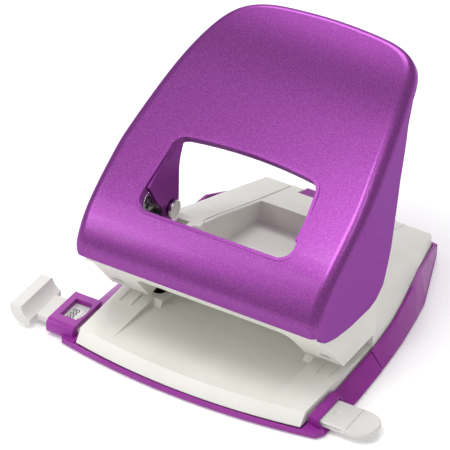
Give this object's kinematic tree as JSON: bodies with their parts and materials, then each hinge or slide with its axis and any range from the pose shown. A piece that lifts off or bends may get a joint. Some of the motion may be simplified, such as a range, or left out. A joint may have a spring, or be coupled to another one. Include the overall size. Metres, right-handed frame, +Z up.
{
  "type": "hole punch",
  "caption": "Desk hole punch with a pressed metallic lever over a moulded jaw, a sliding paper guide and a pull-out chip tray.",
  "frame": {"origin": "on the ground, midway between the two punches", "axes": "+X right along the punch line, +Y to the rear, +Z up"},
  "size_m": [0.1682, 0.1424, 0.1137],
  "materials": {
    "purple_paint": "metallic lacquer, high gloss",
    "purple_plastic": "glossy moulding",
    "white_plastic": "satin moulding",
    "grey_plastic": "satin moulding",
    "steel": "ground",
    "dark_steel": "hardened, oiled",
    "bright_steel": "plated",
    "rubber": "matt",
    "print": "printed strip"
  },
  "bodies": {
    "base": {"front_rim": "purple_plastic", "paper_table": "white_plastic", "die_plate_right": "dark_steel", "die_plate_left": "dark_steel", "punch_housing": "white_plastic", "rear_deck": "white_plastic", "pivot_pin_right": "steel", "pivot_pin_left": "steel", "guide_bush_right": "steel", "guide_bush_left": "steel", "punch_spring_right": "steel", "punch_spring_left": "steel", "rail_spring": "steel", "frame_screws": "steel", "rim_screws": "steel", "front_feet": "rubber"},
    "lever": {"lever_shell": "purple_paint", "hinge_bracket_right": "steel", "hinge_bracket_left": "steel", "drive_pin_right": "bright_steel", "drive_pin_left": "bright_steel", "drive_clip_right": "steel", "drive_clip_left": "steel"},
    "punch_r": {"punch_right": "bright_steel", "spring_ring_right": "steel"},
    "punch_l": {"punch_left": "bright_steel", "spring_ring_left": "steel"},
    "guide": {"guide_rail": "grey_plastic", "stop_flag": "grey_plastic", "format_scale": "print"},
    "tray": {"chip_tray": "purple_plastic", "tray_latch": "purple_plastic", "tray_feet": "rubber"}
  },
  "joints": [
    {"name": "lever_hinge", "type": "hinge", "parent": "base", "child": "lever", "pos_m": [0, -0.024, 0.046], "axis": [-1, 0, 0], "range_deg": [0, 17], "stiffness_Nm_per_rad": 1.5, "springref_deg": -14.32},
    {"name": "punch_right_slide", "type": "slide", "parent": "base", "child": "punch_r", "axis": [0, 0, -1], "range_m": [0, 0.0078], "deforming": ["punch_spring_right"]},
    {"name": "punch_left_slide", "type": "slide", "parent": "base", "child": "punch_l", "axis": [0, 0, -1], "range_m": [0, 0.0078], "deforming": ["punch_spring_left"]},
    {"name": "guide_slide", "type": "slide", "parent": "base", "child": "guide", "axis": [-1, 0, 0], "range_m": [0, 0.072]},
    {"name": "tray_slide", "type": "slide", "parent": "base", "child": "tray", "axis": [0, 1, 0], "range_m": [0, 0.06]}
  ],
  "couplings": [
    {"joint": "punch_right_slide", "follows": "lever_hinge", "m_per_rad": 0.0258},
    {"joint": "punch_left_slide", "follows": "lever_hinge", "m_per_rad": 0.0258}
  ]
}
